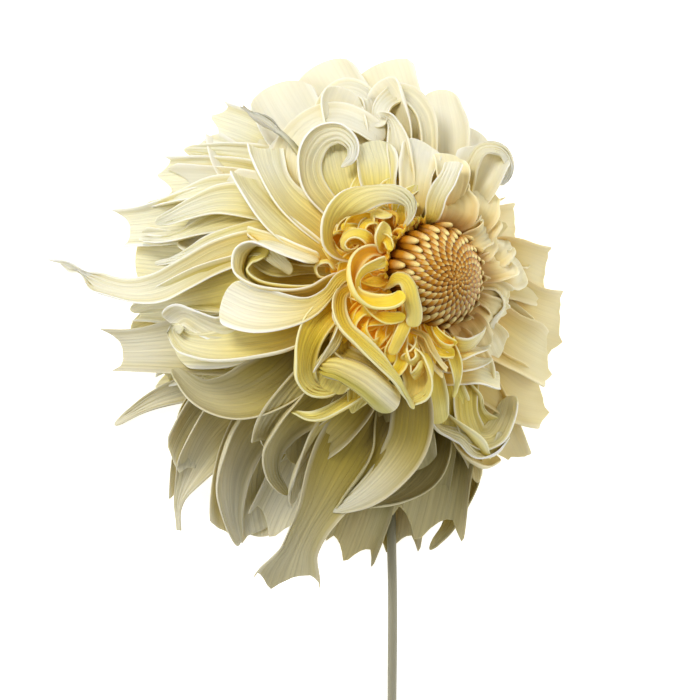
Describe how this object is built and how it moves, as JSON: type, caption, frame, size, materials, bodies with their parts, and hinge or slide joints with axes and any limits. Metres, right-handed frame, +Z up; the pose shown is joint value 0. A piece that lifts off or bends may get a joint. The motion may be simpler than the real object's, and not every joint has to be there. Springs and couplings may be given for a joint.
{
  "type": "dahlia flower",
  "caption": "Cut decorative dahlia blossom with a domed centre, long curled and ragged petals and a bare stem, lying on a surface.",
  "frame": {"origin": "centre of the bounding box in plan, at the surface the flower lies on", "axes": "+Z up from the surface, -Y along the stem towards its cut end, +X to the side the flower's centre leans to"},
  "size_m": [0.1748, 0.2744, 0.0884],
  "materials": {
    "petal": "matt cream petal, yellow towards its foot and grey-olive on the lower petals",
    "floret": "satin amber closed florets",
    "bract": "matt olive green",
    "stem": "matt grey-olive plant stem"
  },
  "bodies": {
    "root": {"receptacle": "bract", "disc": "floret", "stem": "stem", "bract_1": "bract", "bract_2": "bract", "bract_3": "bract", "bract_4": "bract", "bract_5": "bract", "petal_white_blade": "petal", "petal_scroll_left": "petal", "petal_tongue_left": "petal", "petal_pair_low": "petal", "petal_pair_high": "petal", "petal_spiral": "petal", "petal_outer_arch": "petal", "petal_quill": "petal", "petal_arch_over_disc": "petal", "petal_swoop": "petal", "petal_disc_fold": "petal", "petal_ribbon_long": "petal", "petal_cup_low": "petal", "petal_front_blade": "petal", "petal_loop_low": "petal", "petal_scoop": "petal", "petal_bowl_low": "petal", "petal_flat_left": "petal", "petal_long_left": "petal", "petal_fan_1": "petal", "petal_bat_left": "petal", "petal_back_left": "petal", "petal_back_high_left": "petal", "petal_low_left_fork": "petal", "petal_low_left_roll": "petal", "petal_hang_left": "petal", "petal_hang_twisted": "petal", "petal_broad_leaf": "petal", "petal_strap_low": "petal", "petal_curve_low": "petal", "petal_crescent": "petal", "petal_great_hanging": "petal", "petal_striped": "petal", "petal_olive_cup": "petal", "petal_olive_great": "petal", "petal_ragged_low": "petal", "petal_ruffle": "petal", "petal_low_right_tip": "petal", "petal_right_low": "petal", "petal_right_fold": "petal", "petal_right_point": "petal", "petal_right_broad": "petal", "petal_right_back": "petal", "petal_right_hook": "petal", "petal_top_tab": "petal", "petal_top_right": "petal", "petal_top_crown": "petal", "petal_top_left_round": "petal", "petal_top_curl": "petal", "petal_top_loop": "petal", "petal_under_left": "petal", "petal_under_low": "petal"}
  },
  "joints": []
}
